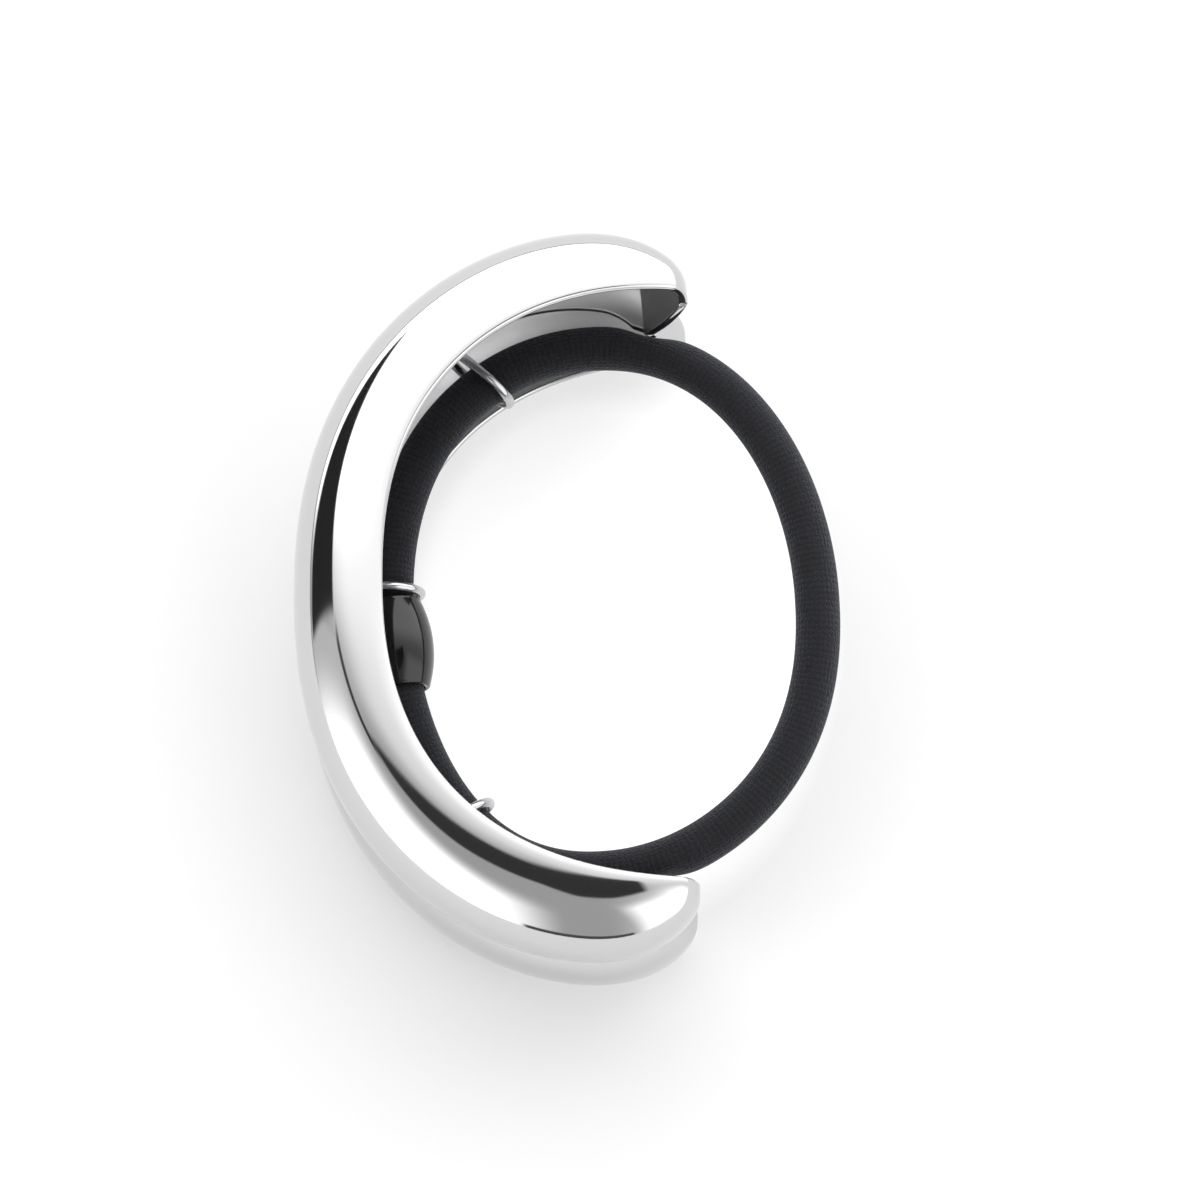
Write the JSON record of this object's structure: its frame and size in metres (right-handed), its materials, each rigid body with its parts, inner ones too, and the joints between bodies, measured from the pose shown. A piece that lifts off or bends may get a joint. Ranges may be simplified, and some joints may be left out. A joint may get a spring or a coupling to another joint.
{
  "type": "ponytail cuff",
  "caption": "Open C-shaped metal hair cuff with two polished domed lobes, worn round a ponytail and held by a round black elastic threaded through wire loops inside it.",
  "frame": {"origin": "centre of the bounding box, on the surface that the cuff lies on", "axes": "+Z along the ponytail's way through, up from the side that the cuff lies on; +X from the middle of the C to its open side; +Y along the C's height"},
  "size_m": [0.0486, 0.066, 0.0248],
  "materials": {
    "cuff": "mirror polished",
    "hair_elastic": "fine matte knit",
    "joiner": "glossy"
  },
  "bodies": {
    "root": {"cuff": "cuff", "hair_elastic": "hair_elastic", "joiner": "joiner"}
  },
  "joints": []
}
